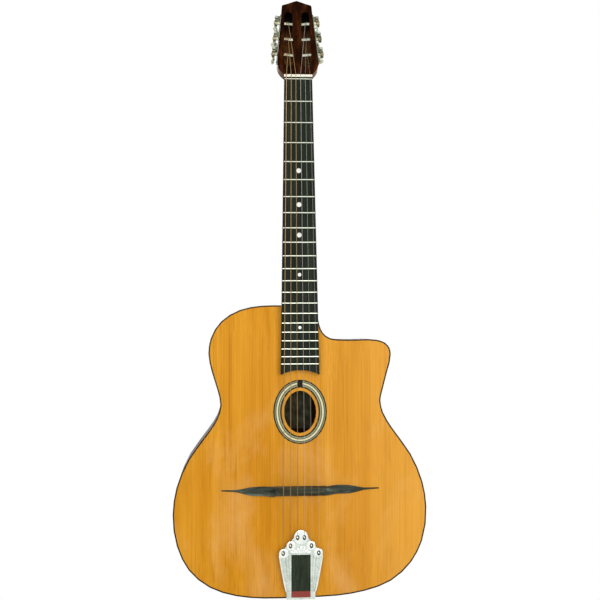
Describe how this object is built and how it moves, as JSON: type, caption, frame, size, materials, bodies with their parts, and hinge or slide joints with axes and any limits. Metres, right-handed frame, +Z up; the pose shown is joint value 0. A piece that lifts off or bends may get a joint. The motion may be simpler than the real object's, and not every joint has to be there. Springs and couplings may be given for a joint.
{
  "type": "gypsy jazz guitar",
  "caption": "Acoustic gypsy jazz guitar with an oval sound hole, a cutaway, a floating bridge and open worm-and-gear tuning machines.",
  "frame": {"origin": "where a wall hanger's yoke holds the neck, under the headstock, on the centre line", "axes": "+Z up the neck, soundboard facing -Y, bass side at -X"},
  "size_m": [0.4155, 0.1262, 1.0067],
  "materials": {
    "aged_spruce": "gloss",
    "rosewood": "gloss",
    "walnut": "satin",
    "inner_wood": "matte",
    "ebony": "satin",
    "dark_binding": "gloss",
    "rosette_inlay": "gloss",
    "pearl": "gloss",
    "bone": "satin",
    "aged_nickel": "aged polish",
    "gear_brass": "aged",
    "string_metal": "satin",
    "felt": "felt"
  },
  "bodies": {
    "guitar": {"soundboard": "aged_spruce", "back": "rosewood", "rib_bass": "rosewood", "rib_treble": "rosewood", "headstock_veneer": "rosewood", "neck": "walnut", "lining_front": "inner_wood", "lining_back": "inner_wood", "tail_block": "inner_wood", "neck_block": "inner_wood", "top_brace_1": "inner_wood", "top_brace_2": "inner_wood", "top_brace_3": "inner_wood", "top_brace_4": "inner_wood", "back_brace_1": "inner_wood", "back_brace_2": "inner_wood", "back_brace_3": "inner_wood", "fretboard": "ebony", "bridge": "ebony", "moustache_bass": "ebony", "moustache_treble": "ebony", "tailpiece_insert": "ebony", "binding_front": "dark_binding", "binding_back": "dark_binding", "rosette": "rosette_inlay", "dot_5": "pearl", "dot_7": "pearl", "dot_9": "pearl", "dot_12": "pearl", "dot_17": "pearl", "nut": "bone", "tailpiece_frame": "aged_nickel", "end_pin": "aged_nickel", "tuner_plate_bass": "aged_nickel", "tuner_plate_treble": "aged_nickel", "string_1": "string_metal", "string_2": "string_metal", "string_3": "string_metal", "string_4": "string_metal", "string_5": "string_metal", "string_6": "string_metal", "tailpiece_felt": "felt"},
    "worm_body_6": {"worm_6": "aged_nickel"},
    "roller_body_6": {"roller_6": "aged_nickel", "gear_6": "gear_brass"},
    "worm_body_5": {"worm_5": "aged_nickel"},
    "roller_body_5": {"roller_5": "aged_nickel", "gear_5": "gear_brass"},
    "worm_body_4": {"worm_4": "aged_nickel"},
    "roller_body_4": {"roller_4": "aged_nickel", "gear_4": "gear_brass"},
    "worm_body_1": {"worm_1": "aged_nickel"},
    "roller_body_1": {"roller_1": "aged_nickel", "gear_1": "gear_brass"},
    "worm_body_2": {"worm_2": "aged_nickel"},
    "roller_body_2": {"roller_2": "aged_nickel", "gear_2": "gear_brass"},
    "worm_body_3": {"worm_3": "aged_nickel"},
    "roller_body_3": {"roller_3": "aged_nickel", "gear_3": "gear_brass"}
  },
  "joints": [
    {"name": "worm_1_turn", "type": "hinge", "parent": "guitar", "child": "worm_body_1", "pos_m": [0.03967, 0.01042, 0.04283], "axis": [0, 0.9659, -0.2588], "continuous": true},
    {"name": "roller_1_turn", "type": "hinge", "parent": "guitar", "child": "roller_body_1", "pos_m": [0.03282, 0.00818, 0.03447], "axis": [0.9959, 0.0233, 0.087], "continuous": true},
    {"name": "worm_2_turn", "type": "hinge", "parent": "guitar", "child": "worm_body_2", "pos_m": [0.03705, 0.01792, 0.07082], "axis": [0, 0.9659, -0.2588], "continuous": true},
    {"name": "roller_2_turn", "type": "hinge", "parent": "guitar", "child": "roller_body_2", "pos_m": [0.0302, 0.01568, 0.06247], "axis": [0.9959, 0.0233, 0.087], "continuous": true},
    {"name": "worm_3_turn", "type": "hinge", "parent": "guitar", "child": "worm_body_3", "pos_m": [0.03443, 0.02542, 0.09882], "axis": [0, 0.9659, -0.2588], "continuous": true},
    {"name": "roller_3_turn", "type": "hinge", "parent": "guitar", "child": "roller_body_3", "pos_m": [0.02758, 0.02318, 0.09046], "axis": [0.9959, 0.0233, 0.087], "continuous": true},
    {"name": "worm_4_turn", "type": "hinge", "parent": "guitar", "child": "worm_body_4", "pos_m": [-0.03443, 0.02542, 0.09882], "axis": [0, 0.9659, -0.2588], "continuous": true},
    {"name": "roller_4_turn", "type": "hinge", "parent": "guitar", "child": "roller_body_4", "pos_m": [-0.02758, 0.02318, 0.09046], "axis": [0.9959, -0.0233, -0.087], "continuous": true},
    {"name": "worm_5_turn", "type": "hinge", "parent": "guitar", "child": "worm_body_5", "pos_m": [-0.03705, 0.01792, 0.07082], "axis": [0, 0.9659, -0.2588], "continuous": true},
    {"name": "roller_5_turn", "type": "hinge", "parent": "guitar", "child": "roller_body_5", "pos_m": [-0.0302, 0.01568, 0.06247], "axis": [0.9959, -0.0233, -0.087], "continuous": true},
    {"name": "worm_6_turn", "type": "hinge", "parent": "guitar", "child": "worm_body_6", "pos_m": [-0.03967, 0.01042, 0.04283], "axis": [0, 0.9659, -0.2588], "continuous": true},
    {"name": "roller_6_turn", "type": "hinge", "parent": "guitar", "child": "roller_body_6", "pos_m": [-0.03282, 0.00818, 0.03447], "axis": [0.9959, -0.0233, -0.087], "continuous": true}
  ],
  "couplings": [
    {"joint": "roller_1_turn", "follows": "worm_1_turn", "ratio": -0.071429},
    {"joint": "roller_2_turn", "follows": "worm_2_turn", "ratio": -0.071429},
    {"joint": "roller_3_turn", "follows": "worm_3_turn", "ratio": -0.071429},
    {"joint": "roller_4_turn", "follows": "worm_4_turn", "ratio": -0.071429},
    {"joint": "roller_5_turn", "follows": "worm_5_turn", "ratio": -0.071429},
    {"joint": "roller_6_turn", "follows": "worm_6_turn", "ratio": -0.071429}
  ]
}
